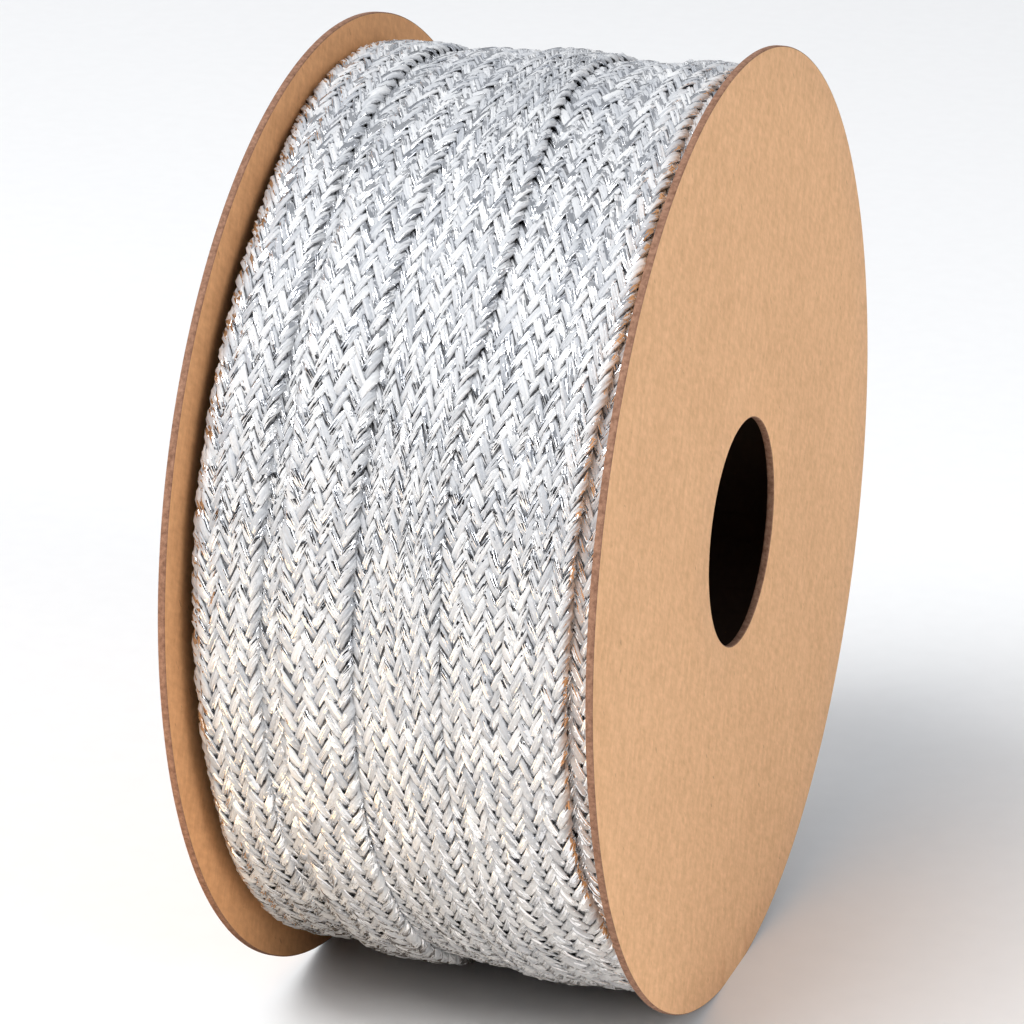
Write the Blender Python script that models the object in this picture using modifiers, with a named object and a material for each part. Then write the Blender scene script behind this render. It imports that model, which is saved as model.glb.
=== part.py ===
"""Narrow braided gift ribbon wound on a spool of two kraft board discs.

The spool lies with its axis along X and stands on the rims of its discs.
The origin is on the surface that it stands on, under the middle of the spool.
All sizes below are in millimetres. Lengths are turned into metres by MM.
"""

from collections import namedtuple
from math import pi, radians

import bmesh
import bpy
import numpy as np
from mathutils import Vector

MM = 0.001

# Driving dimensions of the spool
DISC_DIAMETER = 80.0
DISC_THICKNESS = 0.6
HOLE_DIAMETER = 19.0
SPOOL_WIDTH = 35.3
REST_FLAT_DEPTH = 0.25
CORE_OUTER_DIAMETER = 48.0
CORE_WALL = 1.5
CLEARANCE = 0.3

# Sizes of the wound ribbon
GROOVE_DEPTH = 0.55
EDGE_DROP = 0.22
SHOULDER = 0.14
LOWER_LAYER_DROP = 1.2
LOWER_LAYER_STEP = 0.8

# Fineness of the round pieces
DISC_SEGMENTS = 96
HOLE_SEGMENTS = 64
CORE_SEGMENTS = 64
WINDING_SEGMENTS = 80

# Sizes that follow from the ones above
DISC_RADIUS = DISC_DIAMETER / 2
AXIS_HEIGHT = DISC_RADIUS - REST_FLAT_DEPTH
DISC_INNER_FACE = SPOOL_WIDTH / 2 - DISC_THICKNESS
DISC_MIDDLE = SPOOL_WIDTH / 2 - DISC_THICKNESS / 2
WINDING_END = DISC_INNER_FACE - CLEARANCE
CORE_LENGTH = 2 * (DISC_INNER_FACE - CLEARANCE)
WINDING_INNER_RADIUS = CORE_OUTER_DIAMETER / 2 + CLEARANCE
CUTTER_MARGIN = 5.0
CUTTER_LENGTH = SPOOL_WIDTH + CUTTER_MARGIN

# Angles around the axis, in degrees, at which the tables below give their values.
# 90 is the top of the spool, 180 its front, 270 the bottom and 0 the back.
KEY_ANGLES = (20, 90, 130, 160, 200, 230, 250, 310)

# Where each line between two neighbouring turns runs: its place along X at each key angle.
Line = namedtuple("Line", "back top upper front lower under bottom rear")
TURN_LINES = (
    Line(-16.2, -16.4, -15.3, -15.3, -15.0, -15.4, -15.6, -16.0),
    Line(-10.9, -10.8, -10.2, -10.1, -10.4, -9.9, -10.0, -10.6),
    Line(-8.6, -9.8, -8.9, -8.4, -8.2, -8.0, -7.8, -8.2),
    Line(-3.0, -1.9, -2.9, -2.6, -2.7, -2.2, -1.6, -2.6),
    Line(0.4, 0.6, 0.3, 0.2, 0.4, 0.7, 1.8, 1.0),
    Line(4.4, 4.0, 5.6, 4.4, 4.95, 4.9, 5.2, 5.0),
    Line(10.2, 10.8, 10.9, 10.2, 9.3, 8.9, 9.8, 9.6),
    Line(15.2, 15.0, 16.2, 15.1, 14.5, 16.0, 16.3, 15.0),
)

# How far the crown of each turn stands from the axis at each key angle, and how
# much higher its right side is than its left side.
Turn = namedtuple("Turn", "back top upper front lower under bottom rear slope")
TURN_LEVELS = (
    Turn(37.8, 37.7, 37.9, 38.0, 37.9, 37.6, 37.5, 37.7, 0.10),
    Turn(37.3, 37.2, 37.3, 37.3, 37.4, 37.6, 37.7, 37.4, 0.05),
    Turn(38.0, 37.8, 38.0, 38.1, 38.1, 38.2, 38.4, 38.1, 0.15),
    Turn(37.8, 38.2, 37.8, 37.6, 37.7, 37.6, 37.6, 37.7, 0.20),
    Turn(38.1, 38.1, 38.1, 38.1, 38.2, 38.0, 37.9, 38.0, 0.05),
    Turn(37.9, 37.6, 37.7, 37.9, 38.0, 38.4, 38.7, 38.1, 0.10),
    Turn(38.2, 38.2, 38.3, 38.4, 38.3, 38.3, 38.4, 38.2, -0.10),
    Turn(37.6, 38.0, 37.5, 37.3, 37.3, 37.6, 37.8, 37.6, 0.00),
)


def clear_scene():
    """Remove every object, so that the script starts from an empty scene."""
    for item in list(bpy.data.objects):
        bpy.data.objects.remove(item, do_unlink=True)


def make_collection(name):
    """Add a collection to the scene."""
    collection = bpy.data.collections.new(name)
    bpy.context.scene.collection.children.link(collection)
    return collection


def make_material(name, colour, roughness, metallic=0.0):
    """A Principled material of one colour."""
    material = bpy.data.materials.new(name)
    material.use_nodes = True
    shader = material.node_tree.nodes["Principled BSDF"]
    shader.inputs["Base Color"].default_value = (*colour, 1.0)
    shader.inputs["Roughness"].default_value = roughness
    shader.inputs["Metallic"].default_value = metallic
    material.diffuse_color = (*colour, 1.0)
    return material


def add_object(name, mesh, collection, parent, location=(0, 0, 0), rotation=(0, 0, 0)):
    """Put a mesh into the scene as a named object under its parent."""
    item = bpy.data.objects.new(name, mesh)
    item.location = location
    item.rotation_euler = rotation
    item.parent = parent
    collection.objects.link(item)
    return item


def cylinder_mesh(name, radius, length, segments):
    """A capped cylinder along local Z, centred on its own origin."""
    mesh = bpy.data.meshes.new(name)
    shape = bmesh.new()
    bmesh.ops.create_cone(
        shape,
        cap_ends=True,
        segments=segments,
        radius1=radius,
        radius2=radius,
        depth=length,
    )
    shape.to_mesh(mesh)
    shape.free()
    return mesh


def box_mesh(name, size):
    """A box centred on its own origin."""
    mesh = bpy.data.meshes.new(name)
    shape = bmesh.new()
    bmesh.ops.create_cube(shape, size=1.0)
    bmesh.ops.scale(shape, vec=Vector(size), verts=shape.verts)
    shape.to_mesh(mesh)
    shape.free()
    return mesh


def make_cutter(name, mesh, collection, parent, location=(0, 0, 0), rotation=(0, 0, 0)):
    """A shape that only cuts others."""
    cutter = add_object(name, mesh, collection, parent, location, rotation)
    cutter.display_type = "WIRE"
    cutter.hide_render = True
    return cutter


def cut(item, cutter):
    """Take the cutter's shape out of an object."""
    boolean = item.modifiers.new("Cut " + cutter.name, "BOOLEAN")
    boolean.operation = "DIFFERENCE"
    boolean.solver = "EXACT"
    boolean.object = cutter


def shade_round(mesh):
    """Smooth shading with the hard edges kept."""
    mesh.shade_smooth()
    mesh.set_sharp_from_angle(angle=radians(35))


def make_disc(name, middle, spool, parts, hole_cutter, floor_cutter, material):
    """One board disc, with its centre hole and its small flat spot at the bottom."""
    mesh = cylinder_mesh(name, DISC_RADIUS * MM, DISC_THICKNESS * MM, DISC_SEGMENTS)
    mesh.materials.append(material)
    shade_round(mesh)
    disc = add_object(name, mesh, parts, spool, (middle * MM, 0, 0), (0, pi / 2, 0))
    cut(disc, hole_cutter)
    cut(disc, floor_cutter)
    return disc


def screw_about_axis(item, segments):
    """Turn a profile once around the local Z axis."""
    screw = item.modifiers.new("Turned", "SCREW")
    screw.axis = "Z"
    screw.angle = 2 * pi
    screw.steps = segments
    screw.render_steps = segments
    screw.use_merge_vertices = True
    screw.merge_threshold = 0.00001
    return screw


def profile_mesh(name, points):
    """A closed outline in the local XZ plane, from (radius, height) pairs."""
    mesh = bpy.data.meshes.new(name)
    count = len(points)
    corners = [(radius * MM, 0.0, height * MM) for radius, height in points]
    edges = [(index, (index + 1) % count) for index in range(count)]
    mesh.from_pydata(corners, edges, [])
    return mesh


def make_core(spool, parts, material):
    """The board ring that the ribbon is wound on, open at both ends."""
    outer = CORE_OUTER_DIAMETER / 2
    inner = outer - CORE_WALL
    half = CORE_LENGTH / 2
    outline = [(outer, half), (outer, -half), (inner, -half), (inner, half)]
    mesh = profile_mesh("core", outline)
    mesh.materials.append(material)
    core = add_object("core", mesh, parts, spool, (0, 0, 0), (0, pi / 2, 0))
    screw_about_axis(core, CORE_SEGMENTS)
    return core


def around(values, angle):
    """Read a row of a table at any angle, in degrees, with a smooth closed curve.

    Between two key angles the value follows half a cosine wave, so it has no corner.
    """
    keys = np.array(KEY_ANGLES + (KEY_ANGLES[0] + 360,), dtype=float)
    levels = np.array(tuple(values) + (values[0],), dtype=float)
    turned = (angle - keys[0]) % 360 + keys[0]
    step = np.clip(np.searchsorted(keys, turned, side="right") - 1, 0, len(KEY_ANGLES) - 1)
    share = (turned - keys[step]) / (keys[step + 1] - keys[step])
    blend = (1 - np.cos(pi * share)) / 2
    return levels[step] + (levels[step + 1] - levels[step]) * blend


def turn_crown(row, share):
    """How far a turn's surface is above its level at a share of its width.

    It slopes evenly from side to side and drops at both edges.
    """
    return row.slope * (share - 0.5) - EDGE_DROP * np.abs(2 * share - 1) ** 3


def wound_point(position, angle):
    """The place along X and the radius of a point on the wound surface.

    The whole part of the position is the number of the turn, and the rest is
    the share of the turn's width. A whole position lies in the groove between
    two turns, below the lower of them.
    """
    lines = [around(row, angle) for row in TURN_LINES] + [np.full_like(angle, WINDING_END)]
    turn = int(position)
    share = position - turn
    if share == 0:
        sides = [side for side in (turn - 1, turn) if 0 <= side < len(TURN_LEVELS)]
        levels = [around(TURN_LEVELS[side][:-1], angle) for side in sides]
        return lines[turn], np.minimum.reduce(levels) - GROOVE_DEPTH
    row = TURN_LEVELS[turn]
    place = lines[turn] + share * (lines[turn + 1] - lines[turn])
    return place, around(row[:-1], angle) + turn_crown(row, share)


def section_positions():
    """Positions across the winding: a groove, two shoulders and a crown for each turn."""
    positions = []
    for turn in range(len(TURN_LEVELS)):
        positions += [turn, turn + SHOULDER, turn + 0.5, turn + 1 - SHOULDER]
    return positions + [len(TURN_LEVELS)]


def make_winding(spool, parts, material):
    """The wound ribbon: a turned ring whose outer points follow the wandering turns.

    The ring's outline holds one point for each position across the winding, one
    on its left end for the edge of the layer below, and two inner corners.
    """
    positions = section_positions()
    last = len(positions) - 1
    spacing = 2 * WINDING_END / last
    heights = [-WINDING_END + spacing * index for index in range(last + 1)]
    nominal = DISC_RADIUS - 2.0
    layer = nominal - LOWER_LAYER_DROP
    outline = [(nominal, height) for height in reversed(heights)]
    outline += [(layer, -WINDING_END - spacing)]
    outline += [(WINDING_INNER_RADIUS, -WINDING_END), (WINDING_INNER_RADIUS, WINDING_END)]

    turned = add_object("winding_turned", profile_mesh("winding_turned", outline), parts, None)
    screw_about_axis(turned, WINDING_SEGMENTS)
    graph = bpy.context.evaluated_depsgraph_get()
    mesh = bpy.data.meshes.new_from_object(turned.evaluated_get(graph))
    bpy.data.objects.remove(turned, do_unlink=True)
    mesh.name = "winding"

    points = np.empty(len(mesh.vertices) * 3)
    mesh.vertices.foreach_get("co", points)
    points = points.reshape(-1, 3) / MM
    radius = np.hypot(points[:, 0], points[:, 1])
    height = points[:, 2].copy()
    # The local X axis points down once the spool is laid along the world's X axis.
    angle = np.degrees(np.arctan2(points[:, 1], points[:, 0])) - 90

    outer = np.abs(radius - nominal) < 0.1
    for index, position in enumerate(positions):
        ring = outer & (np.abs(height - heights[index]) < spacing / 4)
        place, distance = wound_point(position, angle[ring])
        points[ring, 2] = place
        scale = distance / radius[ring]
        points[ring, 0] *= scale
        points[ring, 1] *= scale
    below = np.abs(radius - layer) < 0.1
    edge = around(TURN_LINES[0], angle[below])
    points[below, 2] = np.maximum(edge - LOWER_LAYER_STEP, -WINDING_END)

    mesh.vertices.foreach_set("co", (points * MM).ravel())
    mesh.update()
    mesh.materials.clear()
    mesh.materials.append(material)
    shade_round(mesh)
    return add_object("winding", mesh, parts, spool, (0, 0, 0), (0, pi / 2, 0))


def make_spool():
    """Build the whole spool."""
    clear_scene()
    parts = make_collection("gift_ribbon_spool")
    cutters = make_collection("cutters")

    spool = bpy.data.objects.new("spool_axis", None)
    spool.location = (0, 0, AXIS_HEIGHT * MM)
    parts.objects.link(spool)

    kraft = make_material("kraft_board", (0.62, 0.38, 0.20), 0.85)
    core_board = make_material("core_board", (0.36, 0.24, 0.15), 0.9)
    braid = make_material("silver_braid", (0.72, 0.73, 0.76), 0.38, 0.5)

    bore = cylinder_mesh("hole_cutter", HOLE_DIAMETER / 2 * MM, CUTTER_LENGTH * MM, HOLE_SEGMENTS)
    hole_cutter = make_cutter("hole_cutter", bore, cutters, spool, rotation=(0, pi / 2, 0))
    floor = box_mesh("floor_cutter", (CUTTER_LENGTH * MM, DISC_RADIUS * MM, CUTTER_MARGIN * MM))
    below_flat = (0, 0, -(AXIS_HEIGHT + CUTTER_MARGIN / 2) * MM)
    floor_cutter = make_cutter("floor_cutter", floor, cutters, spool, location=below_flat)

    make_disc("disc_left", -DISC_MIDDLE, spool, parts, hole_cutter, floor_cutter, kraft)
    make_disc("disc_right", DISC_MIDDLE, spool, parts, hole_cutter, floor_cutter, kraft)
    make_core(spool, parts, core_board)
    make_winding(spool, parts, braid)


make_spool()
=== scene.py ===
"""Looks of a spool of silver metallic gift ribbon: a narrow flat braid on two kraft board discs.

Every strand of the braid's face is modelled: each turn of ribbon is a herringbone of
short floats, each float three plies of thread and metallic film. Metres, +Z up.
"""

import logging
import math
from dataclasses import dataclass, field
from enum import Enum

import bpy
import numpy as np
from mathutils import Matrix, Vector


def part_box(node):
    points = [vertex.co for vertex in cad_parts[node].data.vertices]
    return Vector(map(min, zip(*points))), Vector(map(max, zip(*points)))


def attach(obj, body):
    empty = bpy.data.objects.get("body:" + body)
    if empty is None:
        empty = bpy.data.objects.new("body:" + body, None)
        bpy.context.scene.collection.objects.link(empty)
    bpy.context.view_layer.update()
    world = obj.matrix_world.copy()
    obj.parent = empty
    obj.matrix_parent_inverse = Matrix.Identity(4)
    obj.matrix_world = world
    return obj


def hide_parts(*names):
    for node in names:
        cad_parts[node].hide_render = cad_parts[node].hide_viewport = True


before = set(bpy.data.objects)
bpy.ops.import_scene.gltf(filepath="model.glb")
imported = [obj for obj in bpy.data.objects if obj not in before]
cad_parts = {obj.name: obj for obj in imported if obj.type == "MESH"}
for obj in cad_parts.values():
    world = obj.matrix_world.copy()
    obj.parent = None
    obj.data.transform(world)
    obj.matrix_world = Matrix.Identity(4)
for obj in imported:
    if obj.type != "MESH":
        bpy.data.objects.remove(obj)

LOG = logging.getLogger("gift_ribbon")
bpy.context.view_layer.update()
MM = 0.001
HOLE_RADIUS = 9.5 * MM


class Lean(Enum):
    """Which way a float leans as the ribbon runs over the top and down the front."""

    RIGHTWARD = 1
    LEFTWARD = -1


class RibbonEdge(Enum):
    """Which of its own woven edges a turn shows."""

    BOTH = (True, True)
    LEFT = (True, False)
    RIGHT = (False, True)
    NEITHER = (False, False)


def column_leans(pattern: str) -> list[Lean]:
    """Read a row of strokes as the leans of the braid's columns.

    Args:
        pattern: one backslash or slash for each column, from left to right.

    Returns:
        The lean of each column.
    """
    return [Lean.RIGHTWARD if stroke == "\\" else Lean.LEFTWARD for stroke in pattern]


@dataclass(frozen=True)
class SpoolSizes:
    """Sizes of the two discs in metres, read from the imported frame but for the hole."""

    disc_radius: float
    axis_height: float
    disc_thickness: float
    disc_outer_face: float
    disc_inner_face: float
    hole_radius: float

    @classmethod
    def from_frame(cls) -> "SpoolSizes":
        """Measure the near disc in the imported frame."""
        low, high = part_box("disc_right")
        radius = (high[1] - low[1]) / 2
        return cls(
            disc_radius=radius,
            axis_height=high[2] - radius,
            disc_thickness=high[0] - low[0],
            disc_outer_face=high[0],
            disc_inner_face=low[0],
            hole_radius=HOLE_RADIUS,
        )


@dataclass(frozen=True)
class BraidSizes:
    """Sizes of the flat braid, in millimetres."""

    floats_around: int = 144
    column_width: float = 0.82
    strand_width: float = 0.70
    strand_height: float = 0.34
    float_reach: float = 1.24
    upper_dip: float = 0.30
    lower_dip: float = 0.36
    edge_round: float = 0.36
    ground_depth: float = 0.30
    ground_thickness: float = 0.45
    ply_relief: float = 0.075
    side_drop: float = 0.20
    plait_rise: float = 0.06
    crown: float = 0.10


# One float: where its sections stand between its ends, and its seven-cornered section.
STATIONS = np.array([-1.45, -1.1, -0.72, -0.26, 0.26, 0.76, 1.16, 1.56])
SECTION_PLACE = np.array([-0.5, -0.36, -0.17, 0.0, 0.17, 0.36, 0.5])
SECTION_SIDE = np.array([1.0, 0.08, 0.0, 0.0, 0.0, 0.08, 1.0])
SECTION_VALLEY = np.array([0.0, 0.0, 1.0, 0.0, 1.0, 0.0, 0.0])
SECTION_ROUND = np.array([0.04, 0.18, 0.31, 0.45, 0.59, 0.72, 0.86, 0.96])
# The texture holds this many floats across and up, in this share of its height.
TILE_GRID = (52, 17)
TILE_SHARE = 0.9
# Where the table's values stand, in degrees: 90 is the top, 180 the front, 270 the bottom.
KEY_ANGLES = (20, 90, 130, 160, 200, 230, 250, 310)
# How far a turn wanders from its table, in mm, and how much its strands differ.
WANDER = 0.05
YAW_SPREAD = 0.11
BOW_SPREAD = 0.03
ALONG_SPREAD = 0.045
CORNER_SPREAD = 0.016
RISE_SPREAD = 0.022
LIFT_SPREAD = 0.020
ROLL_SPREAD = 0.17
WIDTH_RANGE = (0.86, 1.1)


@dataclass(frozen=True)
class TurnRow:
    """One turn of ribbon: where its two edges run and how far it stands from the axis.

    Each tuple has one value for each key angle, in millimetres.
    """

    name: str
    left: tuple
    right: tuple
    level: tuple
    pattern: str
    edges: RibbonEdge
    slope: float = 0.0
    film_share: float = 0.36
    tuck: float = 0.0


def shifted(values: tuple, amount: float) -> tuple:
    """Every value of a row of the table, moved by one amount."""
    return tuple(value + amount for value in values)


LINE_START = (-16.2, -16.4, -15.3, -15.3, -15.0, -15.4, -15.6, -16.0)
LINE_1_2 = (-10.9, -10.8, -10.2, -10.1, -10.4, -9.9, -10.0, -10.6)
LINE_2_3 = (-8.6, -8.2, -8.9, -8.4, -8.2, -8.0, -7.8, -8.2)
LINE_3_4 = (-3.0, -2.0, -2.9, -2.6, -2.7, -2.2, -1.6, -2.6)
LINE_4_5 = (0.4, 0.6, 0.3, 0.2, 0.4, 0.7, 1.8, 1.0)
LINE_5_6 = (4.4, 4.0, 5.5, 4.4, 4.95, 4.9, 5.2, 5.0)
LINE_6_7 = (10.2, 10.2, 10.9, 10.2, 9.3, 8.9, 9.8, 9.6)
LINE_7_8 = (15.2, 15.0, 16.2, 15.1, 14.5, 16.0, 16.3, 15.0)
LINE_END = (16.7,) * len(KEY_ANGLES)

TURN_ROWS = (
    TurnRow(
        "ribbon_turn_0",
        shifted(LINE_START, -0.75),
        shifted(LINE_START, 1.0),
        (37.0, 37.0, 37.0, 37.1, 37.0, 36.8, 36.7, 36.9),
        "\\/",
        RibbonEdge.LEFT,
        film_share=0.2,
    ),
    TurnRow(
        "ribbon_turn_1",
        LINE_START,
        LINE_1_2,
        (37.8, 37.7, 37.9, 38.0, 37.9, 37.6, 37.5, 37.7),
        "\\/\\/\\/",
        RibbonEdge.BOTH,
        0.10,
    ),
    TurnRow(
        "ribbon_turn_2",
        shifted(LINE_1_2, -0.3),
        shifted(LINE_2_3, 0.3),
        (37.3, 37.2, 37.3, 37.3, 37.4, 37.5, 37.5, 37.3),
        "\\/\\",
        RibbonEdge.NEITHER,
    ),
    TurnRow(
        "ribbon_turn_3",
        LINE_2_3,
        LINE_3_4,
        (38.0, 37.8, 38.0, 38.1, 38.1, 38.2, 38.4, 38.1),
        "\\/\\/\\/",
        RibbonEdge.BOTH,
        0.15,
    ),
    TurnRow(
        "ribbon_turn_4",
        LINE_3_4,
        shifted(LINE_4_5, 0.85),
        (37.8, 38.2, 37.8, 37.6, 37.7, 37.6, 37.6, 37.7),
        "\\/\\/\\",
        RibbonEdge.LEFT,
        0.20,
        tuck=0.5,
    ),
    TurnRow(
        "ribbon_turn_5",
        LINE_4_5,
        LINE_5_6,
        (38.1, 38.1, 38.1, 38.1, 38.2, 38.0, 37.9, 38.0),
        "\\/\\/\\/",
        RibbonEdge.BOTH,
        0.05,
    ),
    TurnRow(
        "ribbon_turn_6",
        LINE_5_6,
        LINE_6_7,
        (37.9, 37.6, 37.7, 37.9, 38.0, 38.4, 38.7, 38.1),
        "\\/\\/\\/",
        RibbonEdge.BOTH,
        0.10,
    ),
    TurnRow(
        "ribbon_turn_7",
        LINE_6_7,
        LINE_7_8,
        (38.2, 38.2, 38.3, 38.4, 38.3, 38.3, 38.4, 38.2),
        "\\/\\/\\/",
        RibbonEdge.BOTH,
        -0.10,
    ),
    TurnRow(
        "ribbon_turn_8",
        shifted(LINE_END, -2.55),
        LINE_END,
        (37.5, 37.7, 37.4, 37.2, 37.2, 37.5, 37.6, 37.5),
        "/\\/",
        RibbonEdge.RIGHT,
        film_share=0.45,
    ),
)


def around(values: tuple, angle: np.ndarray) -> np.ndarray:
    """Read a row of the table at any angle with a smooth closed curve.

    Between two key angles the value follows half a cosine wave: start plus the
    difference times (1 - cos(pi * share)) / 2.

    Args:
        values: one value for each key angle.
        angle: angles around the axis in degrees.

    Returns:
        The value at each angle.
    """
    keys = np.array(KEY_ANGLES + (KEY_ANGLES[0] + 360,), dtype=float)
    levels = np.array(tuple(values) + (values[0],), dtype=float)
    turned = (angle - keys[0]) % 360 + keys[0]
    step = np.clip(np.searchsorted(keys, turned, side="right") - 1, 0, len(KEY_ANGLES) - 1)
    share = (turned - keys[step]) / (keys[step + 1] - keys[step])
    blend = (1 - np.cos(np.pi * share)) / 2
    return levels[step] + (levels[step + 1] - levels[step]) * blend


def rolling(angle: np.ndarray, seed: int, size: float) -> np.ndarray:
    """A small smooth closed wander: a sum of six sine waves of falling size.

    Args:
        angle: angles around the axis in degrees.
        seed: picks the waves' phases.
        size: the size of the slowest wave.

    Returns:
        The wander at each angle.
    """
    dice = np.random.default_rng(seed)
    total = np.zeros_like(angle)
    for wave in range(6):
        phase = dice.uniform(0, 2 * np.pi)
        turns = 3 + 4 * wave
        total += np.sin(np.radians(angle) * turns + phase) * size / (1 + wave)
    return total


class MeshDraft:
    """Collects points and faces of several shapes and makes one mesh of them."""

    def __init__(self) -> None:
        """Start empty."""
        self.points: list[np.ndarray] = []
        self.corners: list[np.ndarray] = []
        self.sizes: list[np.ndarray] = []
        self.slots: list[np.ndarray] = []
        self.values: dict[str, list[np.ndarray]] = {}
        self.tiles: list[np.ndarray] = []
        self.creases: list[np.ndarray] = []
        self.count = 0

    def add(
        self,
        points: np.ndarray,
        faces: np.ndarray,
        slot: int = 0,
        tiles: np.ndarray | None = None,
        **values: np.ndarray,
    ) -> None:
        """Add one shape.

        Args:
            points: array of n by 3, in metres.
            faces: array of faces by corners, counted from this shape's first point.
            slot: material slot of its faces.
            tiles: the place of each face corner in the texture.
            values: an array with one number for each face, by attribute name.
        """
        self.points.append(points)
        self.close(faces + self.count, slot, tiles, **values)
        self.count += len(points)

    def close(
        self,
        faces: np.ndarray,
        slot: int = 0,
        tiles: np.ndarray | None = None,
        **values: np.ndarray,
    ) -> None:
        """Add more faces on points that are already there.

        Args:
            faces: array of faces by corners, counted from the first point of all.
            slot: material slot of the faces.
            tiles: the place of each face corner in the texture.
            values: an array with one number for each face, by attribute name.
        """
        self.corners.append(faces.ravel())
        self.sizes.append(np.full(len(faces), faces.shape[1]))
        self.slots.append(np.full(len(faces), slot))
        if tiles is not None:
            self.tiles.append(tiles)
        for name, numbers in values.items():
            self.values.setdefault(name, []).append(numbers)

    def make(self, name: str, materials: list[bpy.types.Material]) -> bpy.types.Object:
        """Put everything into one object at the origin.

        Args:
            name: name of the object and of its mesh.
            materials: its material slots.

        Returns:
            The new object, linked to the scene.
        """
        points = np.concatenate(self.points).astype(np.float32)
        corners = np.concatenate(self.corners).astype(np.int32)
        sizes = np.concatenate(self.sizes)
        starts = np.concatenate(([0], np.cumsum(sizes)[:-1])).astype(np.int32)
        mesh = bpy.data.meshes.new(name)
        mesh.vertices.add(len(points))
        mesh.vertices.foreach_set("co", points.ravel())
        mesh.loops.add(len(corners))
        mesh.loops.foreach_set("vertex_index", corners)
        mesh.polygons.add(len(sizes))
        mesh.polygons.foreach_set("loop_start", starts)
        mesh.polygons.foreach_set("material_index", np.concatenate(self.slots).astype(np.int32))
        mesh.update(calc_edges=True)
        mesh.shade_smooth()
        if self.creases:
            in_crease = np.zeros(len(points), dtype=bool)
            in_crease[np.concatenate(self.creases)] = True
            ends = np.empty(len(mesh.edges) * 2, dtype=np.int32)
            mesh.edges.foreach_get("vertices", ends)
            sharp = in_crease[ends].reshape(-1, 2).all(axis=1)
            mesh.attributes.new("sharp_edge", "BOOLEAN", "EDGE").data.foreach_set("value", sharp)
        if self.tiles:
            layer = mesh.uv_layers.new(name="OFBake")
            layer.uv.foreach_set("vector", np.concatenate(self.tiles).astype(np.float32).ravel())
        for key, parts in self.values.items():
            layer = mesh.attributes.new(key, "FLOAT", "FACE")
            layer.data.foreach_set("value", np.concatenate(parts).astype(np.float32))
        for material in materials:
            mesh.materials.append(material)
        item = bpy.data.objects.new(name, mesh)
        bpy.context.scene.collection.objects.link(item)
        return item


def grid_faces(rows: int, columns: int, wrap_rows: bool, wrap_columns: bool) -> np.ndarray:
    """Quads between the neighbouring points of a grid.

    Point (row, column) is number row * columns + column.

    Args:
        rows: number of rows of points.
        columns: number of points in a row.
        wrap_rows: whether the last row joins the first.
        wrap_columns: whether the last column joins the first.

    Returns:
        Array of quads by four point numbers.
    """
    down = np.arange(rows if wrap_rows else rows - 1)[:, None]
    across = np.arange(columns if wrap_columns else columns - 1)[None, :]
    next_down = (down + 1) % rows
    next_across = (across + 1) % columns
    corners = (
        down * columns + across,
        down * columns + next_across,
        next_down * columns + next_across,
        next_down * columns + across,
    )
    return np.stack(np.broadcast_arrays(*corners), axis=-1).reshape(-1, 4)


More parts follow.
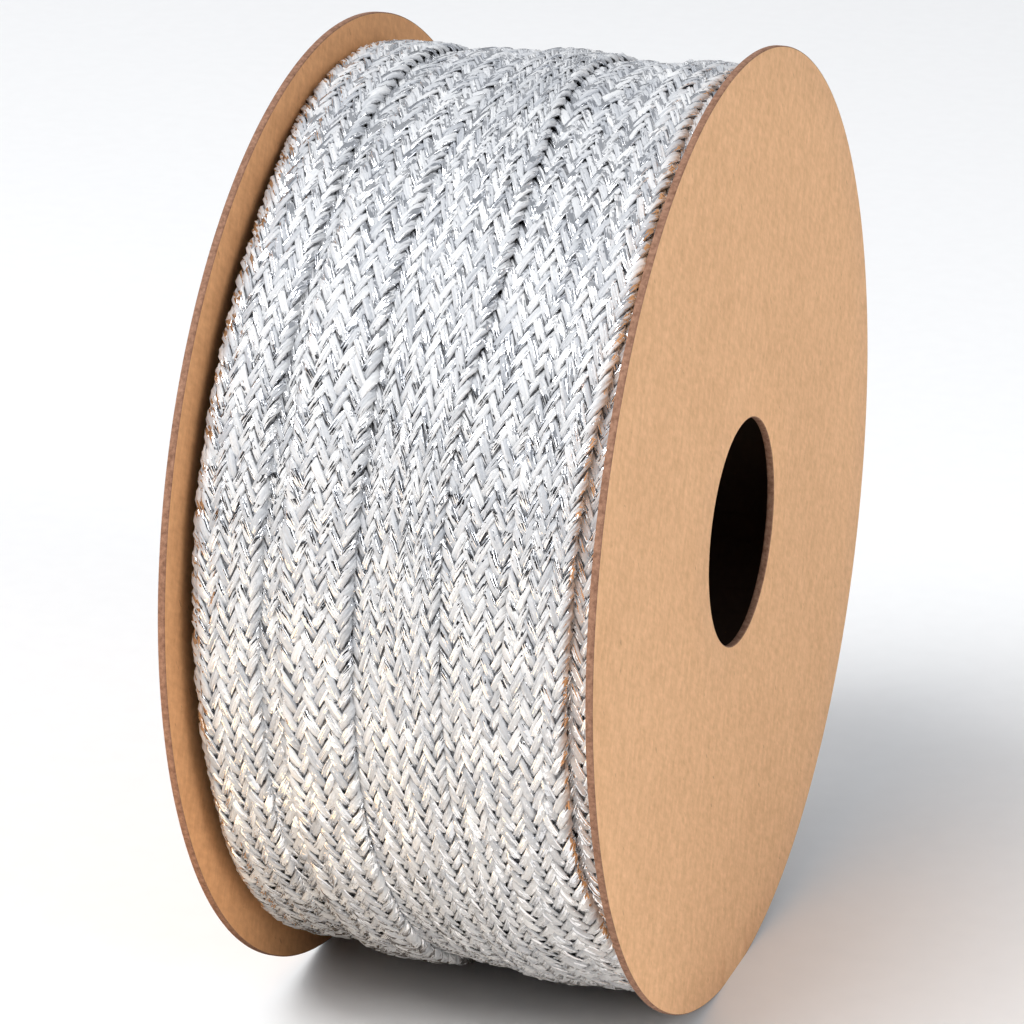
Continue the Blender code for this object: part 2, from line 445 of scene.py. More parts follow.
class NodeSketch:
    """Short ways to add and join shader nodes in one material."""

    def __init__(self, name: str) -> None:
        """Make a material with only a Principled shader and its output."""
        self.material = bpy.data.materials.new(name)
        self.material.use_nodes = True
        self.tree = self.material.node_tree
        self.shader = self.tree.nodes["Principled BSDF"]

    def node(self, kind: str, **settings: object) -> bpy.types.Node:
        """Add a node and set its properties."""
        made = self.tree.nodes.new(kind)
        for key, value in settings.items():
            setattr(made, key, value)
        return made

    def join(self, source: bpy.types.NodeSocket, target: bpy.types.NodeSocket) -> None:
        """Join two sockets."""
        self.tree.links.new(source, target)

    def place(self) -> bpy.types.NodeSocket:
        """The point's place on the object."""
        return self.node("ShaderNodeTexCoord").outputs["Object"]

    def attribute(self, name: str) -> bpy.types.NodeSocket:
        """A number that the mesh carries for each face."""
        return self.node("ShaderNodeAttribute", attribute_name=name).outputs["Fac"]

    def noise(
        self,
        scale: float,
        detail: float = 3.0,
        stretch: tuple = (1, 1, 1),
        roughness: float = 0.5,
        turn: float = 0.0,
    ) -> bpy.types.NodeSocket:
        """Noise on the object's place, stretched along its axes after a turn about X in degrees."""
        mapping = self.node("ShaderNodeMapping", vector_type="POINT")
        mapping.inputs["Scale"].default_value = stretch
        if turn:
            first = self.node("ShaderNodeMapping", vector_type="POINT")
            first.inputs["Rotation"].default_value = (math.radians(turn), 0, 0)
            self.join(self.place(), first.inputs["Vector"])
            self.join(first.outputs["Vector"], mapping.inputs["Vector"])
        else:
            self.join(self.place(), mapping.inputs["Vector"])
        noise = self.node("ShaderNodeTexNoise")
        noise.inputs["Scale"].default_value = scale
        noise.inputs["Detail"].default_value = detail
        noise.inputs["Roughness"].default_value = roughness
        self.join(mapping.outputs["Vector"], noise.inputs["Vector"])
        return noise.outputs["Fac"]

    def tile_noise(
        self, stretch: tuple, detail: float, depth: float = 0.0
    ) -> bpy.types.NodeSocket:
        """Noise on the place in the texture, stretched across and along the floats."""
        tile = self.node("ShaderNodeUVMap", uv_map="OFBake").outputs["UV"]
        mapping = self.node("ShaderNodeMapping")
        mapping.inputs["Scale"].default_value = stretch
        mapping.inputs["Location"].default_value = (0, 0, depth)
        self.join(tile, mapping.inputs["Vector"])
        noise = self.node("ShaderNodeTexNoise")
        noise.inputs["Scale"].default_value = 1.0
        noise.inputs["Detail"].default_value = detail
        self.join(mapping.outputs["Vector"], noise.inputs["Vector"])
        return noise.outputs["Fac"]

    def ramp(self, source: bpy.types.NodeSocket, stops: list) -> bpy.types.NodeSocket:
        """Turn a number into a colour by stops of (position, colour)."""
        made = self.node("ShaderNodeValToRGB")
        elements = made.color_ramp.elements
        while len(elements) < len(stops):
            elements.new(0.5)
        for element, (position, colour) in zip(elements, stops):
            element.position = position
            element.color = (*colour, 1.0)
        self.join(source, made.inputs["Fac"])
        return made.outputs["Color"]

    def math(self, how: str, first: object, second: object) -> bpy.types.NodeSocket:
        """One sum of two numbers or sockets."""
        made = self.node("ShaderNodeMath", operation=how)
        for socket, value in zip(made.inputs, (first, second)):
            if isinstance(value, bpy.types.NodeSocket):
                self.join(value, socket)
            else:
                socket.default_value = value
        return made.outputs["Value"]

    def blend(
        self, share: object, first: object, second: object, how: str = "MIX"
    ) -> bpy.types.NodeSocket:
        """Mix two colours or sockets by a share."""
        made = self.node("ShaderNodeMix", data_type="RGBA", blend_type=how)
        sockets = (made.inputs[0], made.inputs[6], made.inputs[7])
        for socket, value in zip(sockets, (share, first, second)):
            if isinstance(value, bpy.types.NodeSocket):
                self.join(value, socket)
            elif isinstance(value, tuple):
                socket.default_value = (*value, 1.0)
            else:
                socket.default_value = value
        return made.outputs[2]

    def either(self, share: object, first: object, second: object) -> bpy.types.NodeSocket:
        """Mix two numbers: the first times 1 - share, plus the second times share."""
        kept = self.math("MULTIPLY", first, self.math("SUBTRACT", 1.0, share))
        return self.math("ADD", kept, self.math("MULTIPLY", second, share))

    def spread(self, source: bpy.types.NodeSocket, low: float, high: float) -> bpy.types.NodeSocket:
        """Take a number from 0 to 1 to the range from low to high."""
        return self.math("ADD", self.math("MULTIPLY", source, high - low), low)

    def bump(self, height: bpy.types.NodeSocket, strength: float, distance: float) -> None:
        """Raise the surface by a number, through the shader's normal."""
        made = self.node("ShaderNodeBump")
        made.inputs["Strength"].default_value = strength
        made.inputs["Distance"].default_value = distance
        self.join(height, made.inputs["Height"])
        self.join(made.outputs["Normal"], self.shader.inputs["Normal"])


@dataclass(frozen=True)
class SilverBraidFinish:
    """Pale grey thread laid up with narrow silver film."""

    thread_dark: tuple = (0.38, 0.40, 0.435)
    thread_light: tuple = (0.76, 0.765, 0.77)
    film_dark: tuple = (0.66, 0.68, 0.72)
    film_light: tuple = (0.95, 0.95, 0.96)
    thread_roughness: tuple = (0.42, 0.62)
    film_roughness: tuple = (0.07, 0.22)
    film_level: tuple = (0.600, 0.495)

    def make(self) -> bpy.types.Material:
        """Build the material.

        Fine fibres run along every float, drawn as noise on the float's own tile
        of the texture. Film shows as short narrow flecks where a second noise is
        above a level, which is lower on the plies that carry more film. A third
        noise tilts each fleck, so that some catch the light and some stay dark.
        """
        sketch = NodeSketch("silver_braid")
        tone = sketch.attribute("ply_tone")
        rich = sketch.attribute("ply_film")
        fibre = sketch.tile_noise((520.0, 60.0, 1.0), 3.0)
        fleck = sketch.tile_noise((125.0, 40.0, 1.0), 0.0)
        tilt = sketch.tile_noise((120.0, 42.0, 1.0), 0.0, 7.3)
        film = sketch.math("GREATER_THAN", fleck, sketch.spread(rich, *self.film_level))
        soft = sketch.math(
            "ADD", sketch.math("MULTIPLY", tone, 0.55), sketch.math("MULTIPLY", fibre, 0.45)
        )
        thread = sketch.ramp(soft, [(0.20, self.thread_dark), (0.76, self.thread_light)])
        foil = sketch.ramp(tone, [(0.1, self.film_dark), (0.9, self.film_light)])
        sketch.join(sketch.blend(film, thread, foil), sketch.shader.inputs["Base Color"])
        dull = sketch.spread(fibre, *self.thread_roughness)
        bright = sketch.spread(tone, *self.film_roughness)
        sketch.join(sketch.either(film, dull, bright), sketch.shader.inputs["Roughness"])
        sketch.join(film, sketch.shader.inputs["Metallic"])
        tilted = sketch.math("MULTIPLY", tilt, film)
        sketch.bump(sketch.math("ADD", sketch.math("MULTIPLY", fibre, 0.3), tilted), 1.0, 0.10 * MM)
        return sketch.material


@dataclass(frozen=True)
class BraidGroundPaintedShade:
    """The thread that shows in the gaps between the strands, darkened as painted shade."""

    # Dark thread colours: painted shade in the gaps between the strands.
    dark: tuple = (0.11, 0.112, 0.12)
    light: tuple = (0.27, 0.275, 0.29)

    def make(self) -> bpy.types.Material:
        """Build the material: thread darkened as painted shade, with fine noise."""
        sketch = NodeSketch("braid_ground_painted_shade")
        fibre = sketch.noise(3000.0, 2.0)
        thread = sketch.ramp(fibre, [(0.2, self.dark), (0.8, self.light)])
        sketch.join(thread, sketch.shader.inputs["Base Color"])
        sketch.shader.inputs["Roughness"].default_value = 0.7
        sketch.bump(fibre, 0.4, 0.05 * MM)
        return sketch.material


@dataclass(frozen=True)
class KraftBoardFinish:
    """Uncoated brown board: fine fibres on its faces, darker and rougher at its cut edges."""

    name: str
    pale: tuple
    deep: tuple
    edge_pale: tuple
    edge_deep: tuple
    fleck: tuple = (0.20, 0.10, 0.05)
    # Tint multiplied onto the inner face and the inner half of the rim: painted shade where the winding
    # keeps the light off.
    inner_painted_shade: tuple = (0.86, 0.74, 0.62)

    def make(self) -> bpy.types.Material:
        """Build the material.

        The face's grain is two noises stretched across each other, with a few
        dark fibres. Numbers that the mesh carries choose the cut edge and the
        painted shade that darkens the inner side.
        """
        sketch = NodeSketch(self.name)
        grain = sketch.math(
            "ADD",
            sketch.math("MULTIPLY", sketch.noise(2100.0, 3.0, (1.0, 0.32, 1.0), 0.6, 35), 0.5),
            sketch.math("MULTIPLY", sketch.noise(1900.0, 3.0, (1.0, 0.35, 1.0), 0.6, 110), 0.5),
        )
        cloud = sketch.noise(70.0, 3.0)
        speck = sketch.noise(2600.0, 2.0, (1.0, 0.22, 1.0), 0.5, 60)
        base = sketch.math(
            "ADD", sketch.math("MULTIPLY", grain, 0.85), sketch.math("MULTIPLY", cloud, 0.15)
        )
        face = sketch.ramp(base, [(0.34, self.deep), (0.66, self.pale)])
        dark_fibre = sketch.math("GREATER_THAN", speck, 0.735)
        face = sketch.blend(sketch.math("MULTIPLY", dark_fibre, 0.35), face, self.fleck)
        layers = sketch.noise(2400.0, 3.0, (1.0, 1.0, 1.0), 0.7)
        cut = sketch.ramp(layers, [(0.30, self.edge_deep), (0.70, self.edge_pale)])
        # Painted shade: the inner side is darkened by the tint.
        inner = sketch.blend(sketch.attribute("inner_side"), (1.0, 1.0, 1.0), self.inner_painted_shade)
        face = sketch.blend(1.0, face, inner, "MULTIPLY")
        edge = sketch.attribute("cut_edge")
        sketch.join(sketch.blend(edge, face, cut), sketch.shader.inputs["Base Color"])
        sketch.join(sketch.spread(grain, 0.72, 0.95), sketch.shader.inputs["Roughness"])
        sketch.shader.inputs["Specular IOR Level"].default_value = 0.3
        sketch.bump(grain, 0.35, 0.06 * MM)
        return sketch.material


DISC_BOARD = KraftBoardFinish(
    name="kraft_board",
    pale=(0.84, 0.51, 0.285),
    deep=(0.62, 0.36, 0.185),
    edge_pale=(0.36, 0.20, 0.13),
    edge_deep=(0.16, 0.075, 0.045),
)
# Near-black board colours: painted shade for the ring seen deep inside the centre hole.
HUB_PAINTED_SHADE = KraftBoardFinish(
    name="hub_painted_shade",
    pale=(0.06, 0.04, 0.03),
    deep=(0.04, 0.028, 0.02),
    edge_pale=(0.05, 0.035, 0.025),
    edge_deep=(0.03, 0.02, 0.015),
)


@dataclass(frozen=True)
class FloorFinish:
    """Plain pale studio paper that throws back less light than it shows, with painted shade and a
    painted warm reflection in the light it throws.
    """

    seen: tuple = (0.88, 0.88, 0.88)
    # Colours of the light the floor throws back: painted shade close to the spool, painted warm
    # reflection further off.
    thrown_painted_shade: tuple = (0.16, 0.13, 0.10)
    thrown_painted_warm: tuple = (0.97, 0.93, 0.88)

    def make(self) -> bpy.types.Material:
        """Build the material: an even pale tone with a faint paper grain.

        For the light that it throws back, the paper is darker close to the spool as painted shade, and
        warmer further off as a painted warm reflection.
        """
        sketch = NodeSketch("studio_paper")
        grain = sketch.noise(400.0, 2.0)
        shade = tuple(channel * 0.985 for channel in self.seen)
        paper = sketch.ramp(grain, [(0.3, shade), (0.7, self.seen)])
        seen = sketch.node("ShaderNodeLightPath").outputs["Is Camera Ray"]
        away = sketch.node("ShaderNodeVectorMath", operation="DISTANCE")
        sketch.join(sketch.place(), away.inputs[0])
        away.inputs[1].default_value = (-0.03, 0.0, 0.0)
        painted_bounce = sketch.ramp(
            sketch.math("MULTIPLY", away.outputs["Value"], 5.0),
            [(0.13, self.thrown_painted_shade), (0.27, self.thrown_painted_warm)],
        )
        sketch.join(sketch.blend(seen, painted_bounce, paper), sketch.shader.inputs["Base Color"])
        sketch.shader.inputs["Roughness"].default_value = 0.9
        return sketch.material


@dataclass
class BraidedTurn:
    """One turn of flat braid round the winding: a ground band and its strands."""

    row: TurnRow
    sizes: BraidSizes
    axis_height: float
    seed: int
    leans: list = field(init=False)
    width: float = field(init=False)
    valley: float = field(init=False)

    def __post_init__(self) -> None:
        """Work out the columns and the turn's own width."""
        self.leans = column_leans(self.row.pattern)
        self.width = self.sizes.column_width * len(self.leans)
        self.valley = -self.width / 2 + self.sizes.column_width * (self.row.pattern.index("\\/") + 1)

    def place(self, across: np.ndarray, angle: np.ndarray, height: np.ndarray) -> np.ndarray:
        """Points on or above the turn's curved face.

        Measured across the face, a point past the flat part runs round the
        ribbon's rounded edge: its turn there is the distance past the flat part
        divided by the edge's radius. The face itself is highest where two columns
        part downwards and lowest where two columns meet, by a cosine wave. An edge
        that lies under its neighbour sinks over its last column. The result is
        stretched to the width that the turn has at that angle, set on its level
        and turned about the axis.

        Args:
            across: distance from the turn's middle, measured on its face, in mm.
            angle: angle around the axis in degrees.
            height: distance above the face, in mm.

        Returns:
            Array of points in metres, with one more axis than the inputs.
        """
        sizes = self.sizes
        bend = sizes.edge_round
        flat = self.width / 2 - bend
        shows_left, shows_right = self.row.edges.value
        past_right = np.maximum(across - flat, 0) if shows_right else np.zeros_like(across)
        past_left = np.maximum(-across - flat, 0) if shows_left else np.zeros_like(across)
        side = np.where(past_right > 0, 1.0, np.where(past_left > 0, -1.0, 0.0))
        turned = np.minimum((past_right + past_left) / bend, 2.4)
        sideways = np.where(
            side == 0,
            across,
            side * (flat + (bend + height) * np.sin(turned)),
        )
        upward = np.where(side == 0, height, -bend + (bend + height) * np.cos(turned))

        left = around(self.row.left, angle) + rolling(angle, self.seed, WANDER)
        right = around(self.row.right, angle) + rolling(angle, self.seed + 7, WANDER)
        share = sideways / self.width
        inside = self.width / 2 - sizes.column_width
        hidden = 0.0 if shows_right else np.maximum(sideways - inside, 0)
        hidden = hidden + (0.0 if shows_left else np.maximum(-sideways - inside, 0))
        upward = upward - self.row.tuck * np.minimum(hidden / sizes.column_width, 1.2) ** 2
        ridge = -sizes.plait_rise * np.cos(np.pi * (sideways - self.valley) / sizes.column_width)
        along_axis = (left + right) / 2 + share * (right - left)
        level = around(self.row.level, angle) + rolling(angle, self.seed + 13, WANDER)
        arch = sizes.crown * (1 - (2 * share) ** 2) + ridge
        radius = level + self.row.slope * share + arch - sizes.ground_depth + upward
        turn = np.radians(angle)
        points = np.stack([along_axis, radius * np.cos(turn), radius * np.sin(turn)], axis=-1) * MM
        points[..., 2] += self.axis_height
        return points

    def add_ground(self, draft: MeshDraft) -> None:
        """Add the band under the strands: a flat closed ring with rounded edges.

        Its section is a row of points across the face and a row of points
        ground_thickness below them, and it repeats all the way round.

        Args:
            draft: the mesh that is being made.
        """
        steps = self.sizes.floats_around * 2
        reach = self.width / 2
        top = np.linspace(-reach, reach, 11)
        below = np.linspace(reach, -reach, 5)
        across = np.concatenate([top, below])
        height = np.concatenate([np.zeros(11), np.full(5, -self.sizes.ground_thickness)])
        angle = np.arange(steps) * 360 / steps
        grid_angle, grid_across = np.meshgrid(angle, across, indexing="ij")
        grid_height = np.broadcast_to(height, grid_angle.shape).copy()
        points = self.place(grid_across, grid_angle, grid_height)
        faces = grid_faces(steps, len(across), True, True)[:, ::-1]
        turn, side = np.divmod(np.arange(len(faces)), len(across))
        ends = np.array([(0, 0), (1, 0), (1, 1), (0, 1)])
        tiles = np.stack([turn[:, None] + ends[None, :, 0], side[:, None] + ends[None, :, 1]], -1)
        tiles = tiles / (steps, len(across)) * (1, 0.08) + (0, 0.91)
        blank = np.zeros(len(faces))
        draft.add(points.reshape(-1, 3), faces, 1, tiles.reshape(-1, 2), ply_tone=blank, ply_film=blank)

    def float_paths(self, column: int, dice: np.random.Generator) -> tuple:
        """Middle lines of all the floats in one column.

        A float runs from one under-crossing to the next: across by its lean times
        the half column width times t, and along by half the float spacing times
        the reach times t, for t past 1 both ways. Where the column is the
        ribbon's edge, the float's first half runs on round the edge.

        Args:
            column: number of the column from the left.
            dice: source of the small differences.

        Returns:
            Across in mm, along in float spacings, and t, as arrays of floats by stations.
        """
        sizes = self.sizes
        lean = self.leans[column].value
        number = np.arange(sizes.floats_around)[:, None]
        t = np.broadcast_to(STATIONS, (sizes.floats_around, len(STATIONS)))
        middle = -self.width / 2 + (column + 0.5) * sizes.column_width
        yaw = 1 + dice.normal(0, YAW_SPREAD, number.shape)
        bow = dice.normal(0, BOW_SPREAD, number.shape)
        across = middle + lean * sizes.column_width / 2 * t * yaw + bow * (1 - t**2)
        phase = 0.25 if lean > 0 else 0.75
        along = number + phase + sizes.float_reach * t / 2
        along = along + dice.normal(0, ALONG_SPREAD, number.shape)
        shows_left, shows_right = self.row.edges.value
        at_left = column == 0 and shows_left
        at_right = column == len(self.leans) - 1 and shows_right
        if at_left or at_right:
            outer = np.maximum(-t, 0)
            outward = -1.0 if at_left else 1.0
            across = across + outward * 0.26 * outer**2
            along = along - 0.14 * outer**2
        return across, along, t

    def float_points(
        self, across: np.ndarray, along: np.ndarray, t: np.ndarray, dice: np.random.Generator
    ) -> np.ndarray:
        """Section points of all the floats in one column.

        Each station carries the seven-cornered section, square to the float's
        path. The float keeps its height over its middle and then dips under its
        neighbours: the dip is a smooth step of (|t| - 0.5) / 0.95, less deep at
        its upper end than at its lower end.

        Args:
            across: middle lines across the ribbon, in mm.
            along: middle lines along the ribbon, in float spacings.
            t: where each station lies between the under-crossings.
            dice: source of the small differences.

        Returns:
            Array of floats by stations by seven by three, in metres.
        """
        sizes = self.sizes
        count = len(t)
        step = 2 * np.pi * np.mean(self.row.level) / sizes.floats_around
        run_across = np.gradient(across, axis=1)
        run_along = np.gradient(along, axis=1) * step
        length = np.hypot(run_across, run_along)
        wide = sizes.strand_width * (1 - 0.03 * np.abs(t) ** 4)
        wide = wide * dice.uniform(*WIDTH_RANGE, (count, 1))
        loose = np.array([0, 1, 1, 1, 1, 1, 0])
        jitter = dice.normal(0, CORNER_SPREAD, (count, 1, 7)) * loose
        offset = SECTION_PLACE * wide[..., None] + jitter
        share = np.clip((np.abs(t) - 0.5) / 0.95, 0, 1)
        dip = share**2 * (3 - 2 * share) * np.where(t < 0, sizes.upper_dip, sizes.lower_dip)
        rise = sizes.strand_height - dip + dice.normal(0, RISE_SPREAD, (count, 1))
        drop = SECTION_SIDE * sizes.side_drop + SECTION_VALLEY * sizes.ply_relief
        lift = dice.normal(0, LIFT_SPREAD, (count, 1, 7)) * loose
        roll = dice.normal(0, ROLL_SPREAD, (count, 1, 1))
        height = rise[..., None] - drop + lift + offset * roll
        point_across = across[..., None] + offset * (run_along / length)[..., None]
        point_along = along[..., None] - offset * (run_across / length)[..., None] / step
        return self.place(point_across, point_along * 360 / sizes.floats_around, height)

    def float_tiles(self, column: int) -> tuple:
        """Where the floats of one column lie in the texture.

        Every float has a tile of its own: the section's round goes across the
        tile, the float's length up it, and its two ends fill the tile's margins.

        Args:
            column: number of the column from the left.

        Returns:
            Texture places of the sides' corners and of the ends' corners.
        """
        number = column * self.sizes.floats_around + np.arange(self.sizes.floats_around)
        corner = np.stack([number % TILE_GRID[0], number // TILE_GRID[0]], axis=-1).astype(float)
        size = np.array([1 / TILE_GRID[0], TILE_SHARE / TILE_GRID[1]])
        up = 0.06 + 0.88 * (STATIONS - STATIONS[0]) / (STATIONS[-1] - STATIONS[0])
        left, right = np.meshgrid(SECTION_ROUND[:-1], up[:-1]), np.meshgrid(SECTION_ROUND[1:], up[1:])
        sides = np.stack(
            [
                np.stack([left[0], left[1]], -1),
                np.stack([left[0], right[1]], -1),
                np.stack([right[0], right[1]], -1),
                np.stack([right[0], left[1]], -1),
            ],
            axis=2,
        ).reshape(-1, 2)
        arch = 0.012 + 0.03 * (1 - SECTION_SIDE) * (1 - 0.4 * SECTION_VALLEY)
        near = np.stack([SECTION_ROUND[:7], arch], -1)
        far = np.stack([SECTION_ROUND[:7], 1 - arch], -1)[::-1]
        placed = [((part[None] + corner[:, None]) * size).reshape(-1, 2) for part in (sides, near, far)]
        return placed[0], np.concatenate(placed[1:])

    def add_strands(self, draft: MeshDraft) -> None:
        """Add every float of every column, each closed at both ends.

        Args:
            draft: the mesh that is being made.
        """
        dice = np.random.default_rng(self.seed)
        floats = self.sizes.floats_around
        stations = len(STATIONS)
        ply = np.array([0, 0, 1, 1, 2, 2, 1])
        quads = grid_faces(stations, 7, False, True)[:, ::-1]
        for column in range(len(self.leans)):
            points = self.float_points(*self.float_paths(column, dice), dice)
            starts = np.arange(floats)[:, None] * (stations * 7)
            faces = (quads[None] + starts[..., None]).reshape(-1, 4)
            strand = dice.uniform(0, 1, (floats, 1, 1))
            tone = 0.5 * strand + 0.5 * dice.uniform(0, 1, (floats, 1, 3))
            film = (dice.uniform(0, 1, (floats, 1, 3)) < self.row.film_share).astype(float)
            shape = (floats, stations - 1, 3)
            sides, ends = self.float_tiles(column)
            draft.add(
                points.reshape(-1, 3),
                faces,
                tiles=sides,
                ply_tone=np.broadcast_to(tone, shape)[..., ply].reshape(-1),
                ply_film=np.broadcast_to(film, shape)[..., ply].reshape(-1),
            )
            first = draft.count - len(points.reshape(-1, 3))
            near = first + starts + np.arange(7)[None]
            far = first + starts + (stations - 1) * 7 + np.arange(7)[None, ::-1]
            draft.close(
                np.concatenate([near, far]),
                tiles=ends,
                ply_tone=np.tile(tone[:, 0, 1], 2),
                ply_film=np.zeros(2 * floats),
            )
            everywhere = first + np.arange(floats * stations * 7)
            draft.creases.append(everywhere[np.isin(np.arange(floats * stations * 7) % 7, (2, 4))])

    def build(self, materials: list[bpy.types.Material]) -> bpy.types.Object:
        """Make the turn's object."""
        draft = MeshDraft()
        self.add_ground(draft)
        self.add_strands(draft)
        return draft.make(self.row.name, materials)


@dataclass
class Winding:
    """All the turns of ribbon that show."""

    spool: SpoolSizes
    braid: BraidSizes = field(default_factory=BraidSizes)

    def build(self) -> list[bpy.types.Object]:
        """Make every turn and dress it."""
        materials = [SilverBraidFinish().make(), BraidGroundPaintedShade().make()]
        turns = []
        for number, row in enumerate(TURN_ROWS):
            turn = BraidedTurn(row, self.braid, self.spool.axis_height, seed=101 + 31 * number)
            piece = turn.build(materials)
            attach(piece, "root")
            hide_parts("winding")
            turns.append(piece)
        return turns


@dataclass
class BoardDisc:
    """One round board disc with a centre hole and slightly soft cut edges."""

    name: str
    node: str
    outward: int
    spool: SpoolSizes
    seed: int
    segments: int = 288
    soft_edge: float = 0.09 * MM

    def profile(self) -> tuple:
        """The disc's section: radius, distance from its middle plane and edge share.

        Both cut edges are rounded by soft_edge. The edge share is 1 on the cut
        edges and 0 on the faces.
        """
        soft = self.soft_edge
        half = self.spool.disc_thickness / 2
        inner, outer = self.spool.hole_radius, self.spool.disc_radius
        rings = np.linspace(inner + soft, outer - soft, 7)
        radius = [*rings, outer - soft * 0.3, outer, outer, outer - soft * 0.3]
        radius += [*rings[::-1], inner + soft * 0.3, inner, inner, inner + soft * 0.3]
        place = [half] * 7 + [half - soft * 0.3, half - soft, soft - half, soft * 0.3 - half]
        place += [-half] * 7 + [soft * 0.3 - half, soft - half, half - soft, half - soft * 0.3]
        cut = [0] * 6 + [1] * 5 + [0] * 6 + [1] * 5
        return np.array(radius), np.array(place), np.array(cut, dtype=float)

    def build(self, material: bpy.types.Material) -> bpy.types.Object:
        """Make the disc as its section carried once round the axis.

        A point is (x, radius * cos(turn), radius * sin(turn)). The rim and the
        hole's edge waver by a few hundredths of a millimetre, and the rim is cut
        level with the surface that the spool stands on.

        Args:
            material: the board's finish.

        Returns:
            The disc's object.
        """
        radius, place, cut = self.profile()
        angle = np.arange(self.segments) * 360 / self.segments
        grid_angle, grid_radius = np.meshgrid(angle, radius, indexing="ij")
        waver = rolling(angle, self.seed, 0.012 * MM)[:, None]
        at_rim = grid_radius > self.spool.disc_radius * 0.99
        at_hole = grid_radius < self.spool.hole_radius * 1.05
        at_edge = np.where(at_rim | at_hole, 1, 0)
        grid_radius = grid_radius - np.abs(waver) * at_edge
        turn = np.radians(grid_angle)
        middle = (self.spool.disc_outer_face - self.spool.disc_thickness / 2) * self.outward
        x = middle + self.outward * np.broadcast_to(place, turn.shape)
        y = grid_radius * np.cos(turn)
        z = np.maximum(grid_radius * np.sin(turn) + self.spool.axis_height, 0)
        points = np.stack([x, y, z], axis=-1).reshape(-1, 3)
        faces = grid_faces(self.segments, len(radius), True, True)
        if self.outward < 0:
            faces = faces[:, ::-1]
        draft = MeshDraft()
        # Marks the inner face and the inner half of the rim, which take the painted shade.
        inner = np.array([0] * 9 + [1] * 9 + [0] * 4, dtype=float)
        draft.add(
            points,
            faces,
            cut_edge=np.tile(cut, self.segments),
            inner_side=np.tile(inner, self.segments),
        )
        piece = draft.make(self.name, [material])
        piece.data.set_sharp_from_angle(angle=math.radians(50))
        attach(piece, "root")
        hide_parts(self.node)
        return piece


@dataclass
class Hub:
    """The board ring inside the spool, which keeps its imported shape."""

    node: str = "core"
    finish: KraftBoardFinish = HUB_PAINTED_SHADE

    def dress(self) -> None:
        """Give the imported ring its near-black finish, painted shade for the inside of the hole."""
        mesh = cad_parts[self.node].data
        mesh.materials.clear()
        mesh.materials.append(self.finish.make())


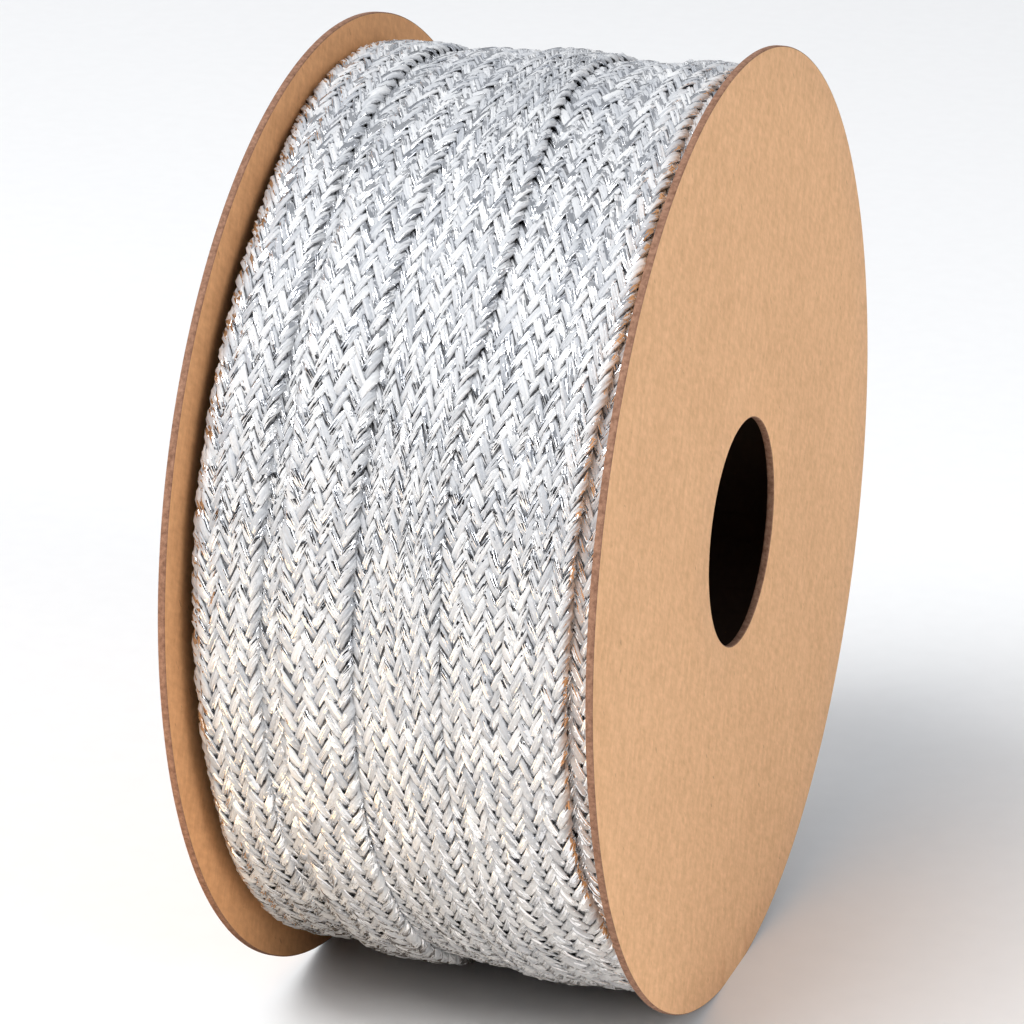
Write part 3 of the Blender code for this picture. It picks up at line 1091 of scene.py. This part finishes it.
@dataclass
class Studio:
    """The floor, the lights and the camera."""

    spool: SpoolSizes
    camera_place: tuple = (0.12088, -0.36144, 0.13832)
    camera_yaw: float = 18.83
    camera_pitch: float = 19.99
    camera_lens: float = 170.8

    def add_floor(self) -> None:
        """A wide pale floor."""
        draft = MeshDraft()
        reach = 3.0
        corners = np.array([(-1, -1, 0), (1, -1, 0), (1, 1, 0), (-1, 1, 0)], dtype=float)
        draft.add(corners * reach, np.array([[0, 1, 2, 3]]))
        floor = draft.make("studio_floor", [FloorFinish().make()])

    def add_light(
        self, name: str, place: tuple, size: tuple, power: float, colour: tuple = (1.0, 1.0, 1.0)
    ) -> bpy.types.Object:
        """A soft rectangular light that faces the middle of the spool.

        Args:
            name: the light's name.
            place: where it stands, in metres.
            size: its width and height in metres.
            power: its power in watts.
            colour: its colour.

        Returns:
            The light's object.
        """
        lamp = bpy.data.lights.new(name, "AREA")
        lamp.shape = "RECTANGLE"
        lamp.size, lamp.size_y = size
        lamp.energy = power
        lamp.color = colour
        item = bpy.data.objects.new(name, lamp)
        item.location = place
        aim = np.array((0, 0, self.spool.axis_height)) - np.array(place)
        from_up = math.acos(-aim[2] / np.linalg.norm(aim))
        item.rotation_euler = (from_up, 0, math.atan2(aim[1], aim[0]) - math.pi / 2)
        bpy.context.scene.collection.objects.link(item)
        return item

    def add_lights(self) -> None:
        """A large soft light above the front, one at each side and a warm card low in front."""
        self.add_light("key_light", (-0.39, -0.65, 1.07), (0.8, 0.6), 15.0)
        self.add_light("right_light", (1.1, -0.7, 0.55), (0.5, 0.8), 7.6)
        self.add_light("left_light", (-1.1, -0.2, 0.6), (0.5, 0.8), 3.0)
        warm = self.add_light("warm_card", (-0.11, -0.095, 0.002), (0.20, 0.11), 0.07, (1.0, 0.52, 0.08))
        warm.rotation_euler = (math.pi, 0, 0)
        warm.visible_camera = False

    def add_flag(self) -> None:
        """A dark curved card in front, behind the camera, for the film to reflect.

        It is part of an upright cylinder about the spool: a point at turn a from
        the front is (radius * sin(a), -radius * cos(a), height).
        """
        radius, height = 1.4, 0.62
        turn = np.radians(np.linspace(-100, 75, 36))
        low = np.stack([radius * np.sin(turn), -radius * np.cos(turn), np.zeros_like(turn)], -1)
        high = low + (0, 0, height)
        draft = MeshDraft()
        draft.add(np.concatenate([low, high]), grid_faces(2, len(turn), False, False))
        sketch = NodeSketch("studio_flag")
        sketch.shader.inputs["Base Color"].default_value = (0.01, 0.01, 0.012, 1.0)
        sketch.shader.inputs["Roughness"].default_value = 0.9
        draft.make("studio_flag", [sketch.material])

    def add_world(self) -> None:
        """A pale backdrop for the camera, and dimmer surroundings for everything else."""
        world = bpy.data.worlds.new("studio_world")
        world.use_nodes = True
        tree = world.node_tree
        tree.nodes.clear()
        seen = tree.nodes.new("ShaderNodeBackground")
        seen.inputs["Color"].default_value = (1.0, 1.0, 1.0, 1.0)
        seen.inputs["Strength"].default_value = 1.0
        lit = tree.nodes.new("ShaderNodeBackground")
        lit.inputs["Color"].default_value = (0.92, 0.95, 1.0, 1.0)
        lit.inputs["Strength"].default_value = 0.46
        path = tree.nodes.new("ShaderNodeLightPath")
        mix = tree.nodes.new("ShaderNodeMixShader")
        out = tree.nodes.new("ShaderNodeOutputWorld")
        tree.links.new(path.outputs["Is Camera Ray"], mix.inputs["Fac"])
        tree.links.new(lit.outputs["Background"], mix.inputs[1])
        tree.links.new(seen.outputs["Background"], mix.inputs[2])
        tree.links.new(mix.outputs["Shader"], out.inputs["Surface"])
        bpy.context.scene.world = world

    def add_camera(self) -> None:
        """A long-lens camera at the photograph's angle."""
        lens = bpy.data.cameras.new("studio_camera")
        lens.lens = self.camera_lens
        lens.sensor_width = 36.0
        lens.clip_start = 0.01
        lens.clip_end = 20.0
        item = bpy.data.objects.new("studio_camera", lens)
        x, y, z = self.camera_place
        item.location = (x, y, z + self.spool.axis_height)
        item.rotation_euler = (math.radians(90 - self.camera_pitch), 0, math.radians(self.camera_yaw))
        bpy.context.scene.collection.objects.link(item)
        bpy.context.scene.camera = item

    def build(self) -> None:
        """Set up the whole studio."""
        self.add_camera()
        self.add_floor()
        self.add_flag()
        self.add_lights()
        self.add_world()
        bpy.context.scene.view_settings.view_transform = "Standard"


def main() -> None:
    """Build and dress the spool, then the studio."""
    logging.basicConfig(level=logging.INFO, format="%(message)s")
    spool = SpoolSizes.from_frame()
    Studio(spool).build()
    for turn in Winding(spool).build():
        LOG.info("%s: %d faces", turn.name, len(turn.data.polygons))
    board = DISC_BOARD.make()
    for disc in (
        BoardDisc("board_disc_left", "disc_left", -1, spool, 5),
        BoardDisc("board_disc_right", "disc_right", 1, spool, 6),
    ):
        piece = disc.build(board)
        LOG.info("%s: %d faces", piece.name, len(piece.data.polygons))
    Hub().dress()


if __name__ == "__main__":
    main()
